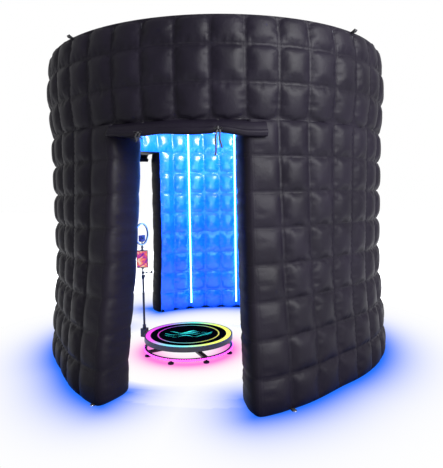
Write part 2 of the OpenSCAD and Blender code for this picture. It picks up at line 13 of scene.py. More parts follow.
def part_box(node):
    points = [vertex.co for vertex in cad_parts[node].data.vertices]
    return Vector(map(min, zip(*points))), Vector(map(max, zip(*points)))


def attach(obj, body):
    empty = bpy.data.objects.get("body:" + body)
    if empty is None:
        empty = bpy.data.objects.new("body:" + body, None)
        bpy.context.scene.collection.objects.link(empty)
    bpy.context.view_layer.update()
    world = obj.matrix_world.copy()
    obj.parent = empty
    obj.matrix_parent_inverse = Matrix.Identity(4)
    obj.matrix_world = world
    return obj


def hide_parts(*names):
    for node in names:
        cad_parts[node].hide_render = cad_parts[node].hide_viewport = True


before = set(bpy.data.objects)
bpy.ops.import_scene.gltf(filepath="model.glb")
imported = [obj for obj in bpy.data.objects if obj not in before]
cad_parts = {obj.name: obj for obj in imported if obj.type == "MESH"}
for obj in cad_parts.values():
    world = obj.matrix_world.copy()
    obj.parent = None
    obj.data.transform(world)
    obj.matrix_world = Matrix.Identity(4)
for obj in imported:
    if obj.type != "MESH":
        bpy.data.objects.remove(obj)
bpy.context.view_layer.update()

# ---- Camera: stands on the floor 4.6 m from the tent's axis, a little right of the front door,
# at chest height. It is level to within 5 degrees and has a slightly long lens.
camera_bearing = math.radians(10.42)
camera_distance, camera_height = 4.634, 1.432
camera_data = bpy.data.cameras.new("camera_front")
camera_data.sensor_width = 36.0
camera_data.lens = 36.94
camera_eye = bpy.data.objects.new("camera_front", camera_data)
bpy.context.scene.collection.objects.link(camera_eye)
camera_eye.matrix_world = (
    Matrix.Translation((camera_distance * math.sin(camera_bearing),
                        -camera_distance * math.cos(camera_bearing), camera_height))
    @ Matrix.Rotation(camera_bearing - math.radians(0.433), 4, "Z")
    @ Matrix.Rotation(math.radians(90 - 4.973), 4, "X")
    @ Matrix.Rotation(math.radians(-0.819), 4, "Z"))
bpy.context.scene.camera = camera_eye


# ---- Black tent cloth: 210-denier Oxford polyester, woven, with a thin polyurethane coating.
# The eye sees a dark charcoal with a faint violet cast, soft broad highlights and fine crumples.
def hex_colour(text):
    """Linear colour of an sRGB hex value."""
    parts = [int(text[i:i + 2], 16) / 255 for i in (1, 3, 5)]
    return tuple(c / 12.92 if c <= 0.04045 else ((c + 0.055) / 1.055) ** 2.4 for c in parts) + (1.0,)


def add(tree, kind, inputs=None, stops=None, **settings):
    """Adds one shader node with its settings, its values and its links."""
    made = tree.nodes.new("ShaderNode" + kind)
    for name, value in settings.items():
        setattr(made, name, value)
    for name, value in (inputs or {}).items():
        if isinstance(value, bpy.types.NodeSocket):
            tree.links.new(value, made.inputs[name])
        else:
            made.inputs[name].default_value = value
    if stops:
        ramp = made.color_ramp
        while len(ramp.elements) < len(stops):
            ramp.elements.new(0.5)
        for element, (place, colour) in zip(ramp.elements, stops):
            element.position, element.color = place, colour
    return made


def finish(name, **values):
    """A new material with one Principled shader, and the shader's tree."""
    made = bpy.data.materials.new(name)
    made.use_nodes = True
    tree = made.node_tree
    shader = tree.nodes["Principled BSDF"]
    for socket, value in values.items():
        shader.inputs[socket.replace("_", " ")].default_value = value
    return made, tree, shader


def join(tree, source, shader, socket):
    tree.links.new(source, shader.inputs[socket])


def where(tree):
    """The place on the object, in metres."""
    return add(tree, "TexCoord").outputs["Object"]


def tinted(tree, shader, value, stops, socket="Base Color"):
    """Colours a socket by a ramp of hex colours over a value."""
    ramp = add(tree, "ValToRGB", {"Fac": value}, [(at, hex_colour(colour)) for at, colour in stops])
    join(tree, ramp.outputs["Color"], shader, socket)


def ranged(tree, shader, value, low, high, socket="Roughness", **limits):
    """Runs a socket from low to high over a value."""
    span = {name.replace("_", " "): limit for name, limit in limits.items()}
    moved = add(tree, "MapRange", {"Value": value, "To Min": low, "To Max": high, **span})
    join(tree, moved.outputs["Result"], shader, socket)


def bumped(tree, shader, height, strength, distance):
    bump = add(tree, "Bump", {"Height": height, "Strength": strength, "Distance": distance})
    join(tree, bump.outputs["Normal"], shader, "Normal")


def sum_of(tree, operation, *values):
    """One step of arithmetic."""
    return add(tree, "Math", dict(enumerate(values)), operation=operation).outputs[0]


def quilted_cloth(name, base, light, roughness, crumple_mm, **values):
    """Woven cloth of an air-filled quilt: uneven dye, crumples, a stitched line along each seam."""
    made, tree, shader = finish(name, Roughness=roughness, **values)
    place = where(tree)
    cell = add(tree, "UVMap", uv_map="quilt").outputs["UV"]
    uneven = add(tree, "TexNoise", {"Vector": place, "Scale": 3.0, "Detail": 4.0}).outputs["Fac"]
    tinted(tree, shader, uneven, [(0.3, base), (0.75, light)])
    crumple = add(tree, "TexNoise", {"Vector": place, "Scale": 1000 / crumple_mm, "Detail": 5.0,
                                     "Roughness": 0.6, "Distortion": 0.8})
    # The threads are 0.5 mm apart; they are drawn 6 mm apart so that they show at all.
    cells = add(tree, "SeparateXYZ", {"Vector": cell})
    weave = [sum_of(tree, "SINE", sum_of(tree, "MULTIPLY", cells.outputs[axis], 2 * math.pi * 38))
             for axis in ("X", "Y")]
    threads = sum_of(tree, "MULTIPLY", *weave)
    height = sum_of(tree, "MULTIPLY_ADD", threads, 0.02, crumple.outputs["Fac"])
    # Lock stitches stand 12 mm from each seam: two rows of short dashes.
    for axis, along in (("X", "Y"), ("Y", "X")):
        seam = sum_of(tree, "PINGPONG", cells.outputs[axis], 1.0)
        row = sum_of(tree, "COMPARE", sum_of(tree, "PINGPONG", seam, 0.5), 0.05, 0.012)
        dash = sum_of(tree, "MULTIPLY", cells.outputs[along], 60.0)
        dash = sum_of(tree, "LESS_THAN", sum_of(tree, "FLOORED_MODULO", dash, 1.0), 0.6)
        height = sum_of(tree, "MULTIPLY_ADD", sum_of(tree, "MULTIPLY", row, dash), -0.35, height)
    bumped(tree, shader, height, 0.55, 0.004)
    ranged(tree, shader, uneven, roughness - 0.06, roughness + 0.08)
    return made


oxford_black = quilted_cloth("oxford_cloth_black", "#08060d", "#0d0a13", 0.5, 45,
                             Specular_IOR_Level=0.07)

# ---- Lining: the same cloth, silver, with a glossy coating that throws the strips' light about.
# Its blue is painted light: the strips' blue light on the silver cloth is painted into its colour.
# It gives saturated blue with small white glints on every fold.
lining_painted_blue_light = quilted_cloth("oxford_cloth_silver_painted_blue_light", "#086edc", "#1688fa", 0.24, 60,
                            Specular_IOR_Level=0.55, Coat_Weight=0.3, Coat_Roughness=0.12)

# ---- The wall of the tent: two cloths 250 mm apart, sewn to webs along 40 upright and 11 level
# seams, and blown up. Six columns are inflated as cloth from the floor over the top and down again.
columns, rows, header_rows, quads = 40, 11, 3, 14
column_angle = 2 * math.pi / columns
tent_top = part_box("header_outer_skin")[1].z
door_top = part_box("header_outer_skin")[0].z
door_row = rows - header_rows
row_height = door_top / door_row
top_cut = rows * row_height - tent_top
wall_width = 0.250
half_door = 2 * column_angle
rear_door = -13 * column_angle
outer_swell, inner_swell = 0.040, 0.025


def smooth(u):
    v = np.clip(u, 0, 1)
    return v * v * (3 - 2 * v)


def seam_radius(z):
    """Radius of the outer seams, with the foot's splay, the header's step and the pulled-in top."""
    return (1.450 + 0.065 * smooth(1 - z / (4 * row_height)) + 0.020 * smooth((z - door_top) / row_height)
            - 0.030 * smooth((z - tent_top + row_height) / row_height))


def row_level(row):
    """Height of a place counted in rows from the floor; the top row is lower than the others."""
    return row * row_height - top_cut * max(0.0, row - rows + 1)


def wall_line():
    """Radius, height and row number of points up the outer cloth, over the top and down inside."""
    line = []
    for i in range(rows * quads + 1):
        z = row_level(i / quads)
        line.append((float(seam_radius(z)), z, i / quads))
    top_r = float(seam_radius(tent_top))
    for i in range(1, quads):
        u = i / quads
        line.append((top_r - wall_width * u, tent_top + 0.030 * math.sin(math.pi * u), rows + u))
    for i in range(rows * quads, -1, -1):
        z = row_level(i / quads)
        line.append((float(seam_radius(z)) - wall_width, z, rows + 1 + (rows - i / quads)))
    return line


line = wall_line()
line_rz = np.array([p[:2] for p in line])
line_row = np.array([p[2] for p in line])


def at_angle(radius, angle, z, beside=0.0):
    """A point at a distance and an angle round the tent's axis."""
    return Vector((radius * math.sin(angle) + beside * math.cos(angle),
                   -radius * math.cos(angle) + beside * math.sin(angle), z))


def spin_line(made, places, turn, steps, closed=False):
    """Joins places with edges and spins them about the upright axis."""
    points = [made.verts.new(place) for place in places]
    edges = [made.edges.new(pair) for pair in zip(points, points[1:])]
    bmesh.ops.spin(made, geom=points + edges, cent=(0, 0, 0), axis=(0, 0, 1), angle=turn, steps=steps,
                   use_merge=closed, use_duplicate=False)


def turn_round(made, verts, angle, axis="Z"):
    bmesh.ops.rotate(made, verts=verts, cent=(0, 0, 0), matrix=Matrix.Rotation(angle, 3, axis))


def spun(first, last, start, turn, steps, closed=False):
    """Spins part of the wall's line about the tent's axis, from the angle start."""
    made = bmesh.new()
    spin_line(made, [at_angle(r, start, z) for r, z, _ in line[first:last + 1]], turn, steps, closed)
    if closed:
        bmesh.ops.remove_doubles(made, verts=made.verts, dist=1e-5)
    made.faces.ensure_lookup_table()
    face = made.faces[0]
    face.normal_update()
    centre = face.calc_center_median()
    inside = Vector((centre.x, centre.y, 0)).normalized() * line_rz[:, 0].mean()
    inside.z = min(centre.z, tent_top - 0.1)
    if face.normal.dot(centre - inside) < 0:
        bmesh.ops.reverse_faces(made, faces=made.faces)
    return made


def to_mesh(made, name):
    mesh = bpy.data.meshes.new(name)
    made.to_mesh(mesh)
    made.free()
    piece = bpy.data.objects.new(name, mesh)
    bpy.context.scene.collection.objects.link(piece)
    mesh.shade_smooth()
    return piece


def thicken(piece, name, thickness):
    made = piece.modifiers.new(name, "SOLIDIFY")
    made.thickness, made.offset = thickness, 0


def points_of(mesh):
    flat = np.empty(len(mesh.vertices) * 3)
    mesh.vertices.foreach_get("co", flat)
    return flat.reshape(-1, 3)


def set_points(piece, places):
    piece.data.vertices.foreach_set("co", np.ascontiguousarray(places, dtype=np.float64).ravel())
    piece.data.update()


def polar(places):
    return (np.hypot(places[:, 0], places[:, 1]), np.arctan2(places[:, 0], -places[:, 1]), places[:, 2])


def from_polar(radius, angle, z):
    return np.stack([radius * np.sin(angle), -radius * np.cos(angle), z], axis=1)


def line_place(radius, z):
    """Which point of the wall's line each vertex is."""
    place = np.empty(len(radius), int)
    for i in range(0, len(radius), 4000):
        part = slice(i, i + 4000)
        gap = np.hypot(radius[part, None] - line_rz[None, :, 0], z[part, None] - line_rz[None, :, 1])
        place[part] = gap.argmin(1)
    return place


sample_columns, inflating_frames = 6, 22


def pillow(u):
    return np.abs(np.sin(np.pi * u)) ** 0.6


def inflated_columns():
    """How far each point of six neighbouring columns moves outwards, along and up when blown up."""
    steps = sample_columns * quads
    piece = to_mesh(spun(0, len(line) - 1, 0.0, sample_columns * column_angle, steps), "inflating")
    radius, angle, z = polar(points_of(piece.data))
    place = line_place(radius, z)
    step = np.rint(angle / column_angle * quads).astype(int)
    rest = np.stack([radius, angle, z], axis=1)
    row = line_row[place]
    sewn = np.nonzero((step % quads == 0) | (np.abs(row - np.rint(row)) < 1e-3))[0]
    group = piece.vertex_groups.new(name="seams")
    group.add([int(i) for i in sewn], 1.0, "REPLACE")
    cloth = piece.modifiers.new("inflate", "CLOTH")
    cloth.collision_settings.use_collision = False
    for setting, value in (("vertex_group_mass", "seams"), ("pin_stiffness", 1), ("quality", 5),
                           ("mass", 0.3), ("tension_stiffness", 15), ("compression_stiffness", 15),
                           ("shear_stiffness", 5), ("bending_stiffness", 0.5), ("air_damping", 5),
                           ("use_pressure", True), ("uniform_pressure_force", 30),
                           ("shrink_min", -0.085)):
        setattr(cloth.settings, setting, value)
    cloth.settings.effector_weights.gravity = 0
    for number in range(1, inflating_frames + 1):
        bpy.context.scene.frame_set(number)
    graph = bpy.context.evaluated_depsgraph_get()
    blown = bpy.data.meshes.new_from_object(piece.evaluated_get(graph))
    moved = np.stack(polar(points_of(blown)), axis=1)
    bpy.data.meshes.remove(blown)
    bpy.context.scene.frame_set(1)
    mesh = piece.data
    bpy.data.objects.remove(piece)
    bpy.data.meshes.remove(mesh)
    shift = np.zeros((steps + 1, len(line), 3))
    shift[step, place] = moved - rest
    return shift


sample_shift = inflated_columns()
draw = random.Random(11)
column_sample = []
for number in range(columns):
    choices = [c for c in range(sample_columns) if not column_sample or c != column_sample[-1][0]]
    column_sample.append((draw.choice(choices), draw.random() < 0.5))


def from_middle(angle, middle):
    """Angle from a door's middle, between minus and plus half a turn."""
    return (angle - middle + math.pi) % (2 * math.pi) - math.pi


def door_gap(angle, middle):
    """Angle from the nearer edge of a door, positive outside it."""
    return np.abs(from_middle(angle, middle)) - half_door


corner_angle = 2 * column_angle / quads


def tuck(u, edge, inner=0.0):
    """How far the cloth turns in towards the middle of the wall where it ends at the rear door."""
    depth = 0.0 if abs(edge) <= half_door + 0.01 else 0.085 - 0.051 * inner
    return depth * np.clip((u - 0.35) / 0.65, 0, 1) ** 2


def end_swell(u, v):
    """Swelling of the last column before a door: full, with seams that fade towards the door."""
    rise = 1 - (1 - np.clip(u / 0.45, 0, 1)) ** 2.2
    return rise * (1 - (1 - 0.6 * u) * (1 - pillow(v)))


def unevenness(angle, z):
    """Slow bulging of a tall air-filled wall, always outwards from its middle."""
    return 0.004 * (2 + np.sin(3 * angle + 1.3 + 0.9 * z) + np.sin(5 * angle - 2.1 * z + 0.4))


def foot_splay(angle, z):
    """The feet of the wall beside the front door lean outwards, as the ends are free."""
    away = np.abs(from_middle(angle, 0.0))
    return 0.165 * smooth(1 - z / 2.1) * smooth((math.radians(50) - away) / math.radians(32))


def settled(radius, angle, z):
    """Adds what the whole wall does to points on it."""
    across = np.clip((radius - seam_radius(z) + wall_width) / wall_width, 0, 1)
    side = 2 * across - 1
    radius = radius + side * unevenness(angle, z) * 0.5 + foot_splay(angle, z)
    return radius, angle, np.maximum(z, 0.0015)


def quilt_map(piece, across, up, turn):
    """A UV map whose unit is one cell of the quilt."""
    layer = piece.data.uv_layers.new(name="quilt")
    corner = np.empty(len(piece.data.loops), int)
    piece.data.loops.foreach_get("vertex_index", corner)
    u, v = across[corner].copy(), up[corner].copy()
    starts = np.array([p.loop_start for p in piece.data.polygons])
    counts = np.array([p.loop_total for p in piece.data.polygons])
    owner = np.repeat(np.arange(len(starts)), counts)
    highest = np.maximum.reduceat(u, starts)[owner]
    u = np.where(highest - u > turn / 2, u + turn, u)
    layer.data.foreach_set("uv", np.stack([u, v], axis=1).ravel())


fitting_angles = {10.5 * column_angle: 0.086, 14.5 * column_angle: 0.086, 12.5 * column_angle: 0.027}
fitting_height = row_height / 2


def quilt(name, first_row, last_row, start, end, cloth, slot, *nodes):
    """One piece of quilt from the blown-up columns; rows 0 to 11 outside, 11 to 12 on top, then inside."""
    first = int(np.argmin(np.abs(line_row - first_row)))
    last = int(np.argmin(np.abs(line_row - last_row)))
    closed = end - start >= columns
    steps = (end - start) * quads
    wall = spun(first, last, start * column_angle, (end - start) * column_angle, steps, closed)
    piece = to_mesh(wall, name)
    radius, angle, z = polar(points_of(piece.data))
    place = line_place(radius, z)
    step = np.rint((angle / column_angle - start) % columns * quads).astype(int)
    step[step > steps] = 0
    if not closed:
        near_end = (step == 0) & (np.abs((angle / column_angle - end + 1) % columns - 1) < 0.5)
        step[near_end] = steps
    column = np.minimum(step // quads, end - start - 1)
    within = step - column * quads
    shift = np.zeros((len(radius), 3))
    for number in range(end - start):
        sample, mirrored = column_sample[(start + number) % columns]
        mine = column == number
        from_step = quads - within[mine] if mirrored else within[mine]
        part = sample_shift[sample * quads + from_step, place[mine]].copy()
        if mirrored:
            part[:, 1] *= -1
        shift[mine] = part
    row = line_row[place]
    level = np.where(row <= rows, row, 2 * rows + 1 - row)
    on_top = (row > rows) & (row < rows + 1)
    shift *= np.where((level > door_row) & ~on_top, 0.86, 1.0)[:, None]
    shift[on_top, 2] = 0.25 * shift[on_top, 2] - 0.6 * (z[on_top] - tent_top)
    angle = start * column_angle + step * column_angle / quads
    if not closed:
        inner = row > rows + 1
        swell = np.where(inner, -inner_swell, outer_swell)
        for side in (0, end - start - 1):
            mine = column == side
            u = within[mine] / quads
            u = 1 - u if side == 0 else u
            edge = (start if side == 0 else end) * column_angle
            sign = 1 if side == 0 else -1
            shift[mine, 0] = (swell[mine] * end_swell(u, level[mine])
                              - np.sign(swell[mine]) * tuck(u, edge, inner[mine]))
            folds = np.array([noise.noise(Vector((z_ * 26, u_ * 1.4, side + start))) for z_, u_ in
                              zip(z[mine], u)])
            tapered = smooth((u - 0.35) / 0.4) * smooth((1 - u) / 0.12)
            shift[mine, 0] += 0.006 * folds * tapered * np.sign(swell[mine])
            shift[mine, 1:] = 0
            angle[mine] = edge + sign * (corner_angle + (1 - u) * (column_angle - corner_angle))
    radius, angle, z = settled(radius + shift[:, 0], angle + shift[:, 1], z + shift[:, 2])
    if "right_wall_outer_skin" in nodes:
        for middle, size in fitting_angles.items():
            away = np.hypot((angle - middle) * radius, z - fitting_height)
            flat = float(seam_radius(fitting_height)) + outer_swell - 0.004
            rim = smooth((size + 0.055 - away) / 0.05)
            radius = radius * (1 - rim) + np.minimum(flat, radius) * rim
    set_points(piece, from_polar(radius, angle, z))
    quilt_map(piece, start + step / quads, row, columns)
    if "right_wall_outer_skin" in nodes:
        holed = bmesh.new()
        holed.from_mesh(piece.data)
        gone = []
        for face in holed.faces:
            centre = face.calc_center_median()
            if centre.z < row_height:
                here = math.atan2(centre.x, -centre.y)
                for middle, size in fitting_angles.items():
                    away = math.hypot((here - middle) * math.hypot(centre.x, centre.y),
                                      centre.z - fitting_height)
                    if away < size - 0.02:
                        gone.append(face)
        bmesh.ops.delete(holed, geom=list(set(gone)), context="FACES")
        holed.to_mesh(piece.data)
        holed.free()
        piece.data.shade_smooth()
    piece.data.materials.append(cloth)
    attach(piece, "root")
    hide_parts(*nodes)
    return piece


quilt("outer_quilt_header", door_row, rows, 0, 40, oxford_black, "tent_black", "header_outer_skin")
quilt("outer_quilt_left", 0, door_row, -11, -2, oxford_black, "tent_black", "left_wall_outer_skin")
quilt("outer_quilt_right", 0, door_row, 2, 25, oxford_black, "tent_black", "right_wall_outer_skin")
quilt("top_quilt", rows, rows + 1, 0, 40, oxford_black, "tent_black", "top_panel")
inner_first, inner_door, inner_last = rows + 1, rows + 1 + header_rows, 2 * rows + 1
quilt("inner_quilt_header", inner_first, inner_door, 0, 40, lining_painted_blue_light, "tent_silver", "header_inner_skin")
quilt("inner_quilt_left", inner_door, inner_last, -11, -2, lining_painted_blue_light, "tent_silver",
      "left_wall_inner_skin")
quilt("inner_quilt_right", inner_door, inner_last, 2, 25, lining_painted_blue_light, "tent_silver",
      "right_wall_inner_skin")

# ---- Door ends: the wall closes at each side of a door with a panel of the black cloth that the air
# pushes out into a rounded upright bolster. The rear left one has the zip let into its middle.
end_steps = 24


def door_end(name, edges, node):
    whole = bmesh.new()
    levels = door_row * quads
    for _ in edges:
        bmesh.ops.create_grid(whole, x_segments=end_steps, y_segments=levels, size=1.0)
    piece = to_mesh(whole, name)
    places = points_of(piece.data)
    count = (end_steps + 1) * (levels + 1)
    across_all, up_all = np.empty(len(places)), np.empty(len(places))
    for number, (edge, sign, zipped) in enumerate(edges):
        mine = slice(number * count, (number + 1) * count)
        across, up = places[mine, 0] / 2 + 0.5, places[mine, 1] / 2 + 0.5
        if sign < 0:
            across = 1 - across
        z = up * door_top
        row = up * door_row
        seams = end_swell(np.ones_like(row), row)
        outer = seam_radius(z) + outer_swell * seams - tuck(1.0, edge)
        inner = seam_radius(z) - wall_width - inner_swell * seams + tuck(1.0, edge, 1.0)
        turn = across * math.pi
        front = abs(edge) <= half_door + 0.01
        power = 2 / 2.5 if front else 2 / 2.1
        half = (outer - inner) / 2
        depth = corner_angle * (outer + inner) / 2 + (0.040 if front else 0.008) * (0.8 + 0.2 * seams)
        ends = 0.55 + 0.45 * smooth((door_top - z) / 0.12) * smooth(z / 0.05 + 0.3)
        lift = np.abs(np.sin(turn)) ** power * depth * ends
        side = np.sign(np.cos(turn)) * np.abs(np.cos(turn)) ** power * half
        if zipped:
            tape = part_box("zip_tape")
            beside = smooth((0.062 - np.abs(side)) / 0.045)
            along = smooth((z - tape[0].z + 0.10) / 0.08) * smooth((tape[1].z + 0.10 - z) / 0.08)
            flat = corner_angle * (outer + inner) / 2 - 0.0005
            lift = lift * (1 - beside * along) + np.minimum(lift, flat) * beside * along
        folds = np.array([noise.noise(Vector((z_ * 26, t_ * 1.5, number * 7 + 3))) for z_, t_ in
                          zip(z, across)])
        lift = lift + 0.007 * folds * np.sin(turn) ** 2 * (0 if zipped else 1)
        radius = (outer + inner) / 2 + side
        angle = edge + sign * (corner_angle - lift / radius)
        radius, angle, z = settled(radius, angle, z)
        places[mine] = from_polar(radius, angle, z)
        across_all[mine], up_all[mine] = across, row
    set_points(piece, places)
    quilt_map(piece, across_all, up_all, 1000)
    piece.data.materials.append(oxford_black)
    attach(piece, "root")
    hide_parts(node)


door_end("front_door_ends", [(half_door, 1, False), (-half_door, -1, False)], "front_door_jambs")
door_end("rear_door_ends", [(rear_door + half_door, 1, True), (rear_door - half_door, -1, False)],
         "rear_door_jambs")

# ---- Door heads: the strip of black cloth under the header, blown down a little between the jambs.
head_rows = 10


def door_heads(name, middles, node):
    whole = bmesh.new()
    wide = 4 * quads
    for _ in middles:
        bmesh.ops.create_grid(whole, x_segments=wide, y_segments=head_rows, size=1.0)
    piece = to_mesh(whole, name)
    places = points_of(piece.data)
    count = (wide + 1) * (head_rows + 1)
    across_all, up_all = np.empty(len(places)), np.empty(len(places))
    for number, middle in enumerate(middles):
        mine = slice(number * count, (number + 1) * count)
        column, up = (places[mine, 0] / 2 + 0.5) * 4, places[mine, 1] / 2 + 0.5
        radius = seam_radius(door_top) - wall_width * (1 - up)
        angle = middle - half_door + column * column_angle
        swell = (0.35 + 0.65 * pillow(column)) * np.sin(np.pi * up) ** 0.7
        radius, angle, z = settled(radius, angle, np.full(len(radius), door_top))
        places[mine] = from_polar(radius, angle, z - 0.002 - 0.022 * swell)
        across_all[mine], up_all[mine] = column, up
    set_points(piece, places)
    quilt_map(piece, across_all, up_all, 1000)
    piece.data.materials.append(oxford_black)
    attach(piece, "root")
    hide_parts(node)


door_heads("door_heads", [0.0, rear_door], "door_lintels")

# ---- Foot of the wall: heavy black groundsheet cloth under each stretch of wall, turned up 25 mm
# inside as a dark line along the foot of the lining.
whole = bmesh.new()
foot_profile = ((wall_width, 0.0), (wall_width / 2, 0.0), (0.004, 0.0), (-0.002, 0.012), (-0.003, 0.028))
foot_inside = float(seam_radius(0.0)) - wall_width
for start, end in ((-11, -2), (2, 25)):
    begin = start * column_angle + corner_angle
    spin_line(whole, [at_angle(r + foot_inside, begin, z) for r, z in foot_profile],
              (end - start) * column_angle - 2 * corner_angle, (end - start) * 6)
wall_feet = to_mesh(whole, "wall_feet")
radius, angle, z = polar(points_of(wall_feet.data))
lift = z.copy()
radius, angle, z = settled(radius, angle, z)
set_points(wall_feet, from_polar(radius, angle, lift + 0.0012))
quilt_map(wall_feet, angle / column_angle, np.hypot(radius, lift) * 4, 1000)
wall_feet.data.materials.append(oxford_black)
thicken(wall_feet, "cloth_thickness", 0.0008)
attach(wall_feet, "root")
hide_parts("base_panels")

# ---- Door curtains: each door's flap of the same cloth is rolled up under the header and tied. The
# roll is soft: it is pinched at its two ties, sags between them and shows its folded edge.
roll_radius, roll_z, roll_thick = 1.515, door_top - 0.068, 0.0225
flap_radius = 1.452
flap_line = ((0.0, 0.004), (0.014, -0.004), (0.034, -0.012), (0.054, -0.024), (0.068, -0.040),
             (0.078, -0.056))
tie_angles = (-half_door / 2, half_door * 0.6)


def pinch(angle, middle):
    """Radius of the roll against its full one."""
    off = from_middle(angle, middle)
    return 1.0 - sum(0.26 * np.exp(-((off - tie) * roll_radius / 0.024) ** 2) for tie in tie_angles)


def sag(angle, middle):
    off = from_middle(angle, middle)
    return 0.010 * np.sin(off * 12 + 0.6) ** 2 + 0.016 * smooth((off - tie_angles[1]) / 0.12)


def door_roll(name, middle, left, right, node):
    whole = bmesh.new()
    start, turn = middle - half_door - left, 2 * half_door + left + right
    steps = int(round(turn / 0.0075))
    rim = []
    for i in range(36):
        a = 2 * math.pi * i / 36
        r = roll_thick * (1.0 + 0.07 * (i / 36)) * (1 + 0.03 * math.sin(3 * a))
        rim.append(whole.verts.new(at_angle(roll_radius + r * math.cos(a), start,
                                            roll_z + r * math.sin(a))))
    first_face = whole.faces.new(rim)
    cap = bmesh.ops.duplicate(whole, geom=[first_face] + list(first_face.edges) + rim)["geom"]
    tube = [g for g in cap if isinstance(g, (bmesh.types.BMVert, bmesh.types.BMEdge))]
    bmesh.ops.delete(whole, geom=[g for g in cap if isinstance(g, bmesh.types.BMFace)],
                     context="FACES_ONLY")
    last = bmesh.ops.spin(whole, geom=tube, cent=(0, 0, 0), axis=(0, 0, 1), angle=turn, steps=steps,
                          use_merge=False, use_duplicate=False)["geom_last"]
    end_edges = [g for g in last if isinstance(g, bmesh.types.BMEdge)]
    bmesh.ops.contextual_create(whole, geom=end_edges)
    bmesh.ops.remove_doubles(whole, verts=whole.verts, dist=1e-5)
    for end in [f for f in whole.faces if len(f.verts) > 4]:
        face = end
        for depth in (-0.0015, 0.0025, -0.0025, 0.0025, -0.0025):
            bmesh.ops.inset_individual(whole, faces=[face], thickness=0.0032, depth=depth)
    bmesh.ops.recalc_face_normals(whole, faces=whole.faces)
    spin_line(whole, [at_angle(flap_radius + x, start, door_top + z_) for x, z_ in flap_line], turn, steps)
    piece = to_mesh(whole, name)
    radius, angle, z = polar(points_of(piece.data))
    angle = np.where(angle - middle > math.pi, angle - 2 * math.pi, angle)
    out, up = radius - roll_radius, z - roll_z
    on_roll = smooth(1 - (np.hypot(out, up) - 0.026) / 0.012)
    size = 1 + (pinch(angle, middle) - 1) * on_roll
    folds = np.array([noise.noise(Vector((a * 9, math.atan2(u, o) * 1.3, 4.0 + middle)))
                      for a, o, u in zip(angle, out, up)])
    size = size * (1 + 0.16 * folds * on_roll)
    radius = roll_radius + out * size + 0.5 * unevenness(angle, z)
    z = roll_z + up * size - sag(angle, middle) * (0.25 + 0.75 * on_roll)
    set_points(piece, from_polar(radius, angle, z))
    quilt_map(piece, angle / column_angle * 3.7, np.hypot(out, up) * 4.2 + 0.3, 1000)
    piece.data.materials.append(oxford_black)
    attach(piece, "root")
    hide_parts(node)


door_roll("front_door_roll", 0.0, math.radians(0.5), math.radians(5), "front_curtain")
door_roll("rear_door_roll", rear_door, math.radians(1), math.radians(1), "rear_curtain")

# ---- Ribbon ties: woven black ribbon 14 mm wide goes round each roll, is knotted in front of it and
# hangs down in two tails. The ones to the left are short, the ones to the right long.
ribbon_black, tree, shader = finish("woven_ribbon_black", Roughness=0.62, Specular_IOR_Level=0.35)
# The ribs are 0.8 mm apart; they are drawn 3 mm apart so that they show at all.
ribs = add(tree, "TexWave", {"Vector": where(tree), "Scale": 105.0, "Distortion": 0.6}, bands_direction="Z")
tinted(tree, shader, ribs.outputs["Fac"], [(0.0, "#0d0d10"), (1.0, "#1c1b20")])
bumped(tree, shader, ribs.outputs["Fac"], 0.5, 0.0006)


def strip(made, points, across, width):
    """A ribbon along a path, by extruding its first edge from point to point."""
    across = Vector(across).normalized() * width / 2
    first = Vector(points[0])
    edge = made.edges.new((made.verts.new(first - across), made.verts.new(first + across)))
    for here, after in zip(points, points[1:]):
        new = bmesh.ops.extrude_edge_only(made, edges=[edge])["geom"]
        edge = [g for g in new if isinstance(g, bmesh.types.BMEdge)][0]
        bmesh.ops.translate(made, verts=edge.verts, vec=Vector(after) - Vector(here))


bow_loop = ((0, 0), (0.012, 0.006), (0.024, 0.008), (0.030, 0.002), (0.022, -0.006), (0, -0.002))
whole = bmesh.new()
for middle in (0.0, rear_door):
    for tie, tails in zip(tie_angles, ((0.060, 0.042), (0.170, 0.120))):
        angle = middle + tie
        low = float(sag(np.array([angle]), middle)[0])
        small = roll_thick * 0.74 + 0.004
        across = (math.cos(angle), math.sin(angle), 0)
        loop = [at_angle(roll_radius + small * math.cos(a), angle, roll_z - low + small * math.sin(a))
                for a in np.linspace(math.radians(75), math.radians(-285), 25)]
        loop = [at_angle(1.466, angle, door_top + 0.002)] + loop
        strip(whole, loop, across, 0.014)
        knot = at_angle(roll_radius + small + 0.003, angle, roll_z - low)
        ball = bmesh.ops.create_icosphere(whole, subdivisions=2, radius=0.010)["verts"]
        bmesh.ops.scale(whole, verts=ball, vec=(0.85, 0.85, 0.7))
        bmesh.ops.translate(whole, verts=ball, vec=knot)
        for side, tail in zip((-1, 1), tails):
            path = [knot + Vector((0, 0, 0.002))]
            for i in range(1, 13):
                u = i / 12
                path.append(at_angle(roll_radius + small + 0.004 + 0.006 * math.sin(5 * u), angle,
                                     roll_z - low - tail * u,
                                     side * (0.008 + 0.012 * u + 0.004 * math.sin(7 * u + side))))
            strip(whole, path, across, 0.012)
            wing = [knot + Vector(across) * side * x + Vector((0, 0, z_)) for x, z_ in bow_loop]
            strip(whole, wing, (math.sin(angle), -math.cos(angle), 0.2), 0.012)
tie_ribbons = to_mesh(whole, "tie_ribbons")
thicken(tie_ribbons, "ribbon_thickness", 0.0012)
tie_ribbons.data.materials.append(ribbon_black)
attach(tie_ribbons, "root")
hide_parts("curtain_ties")

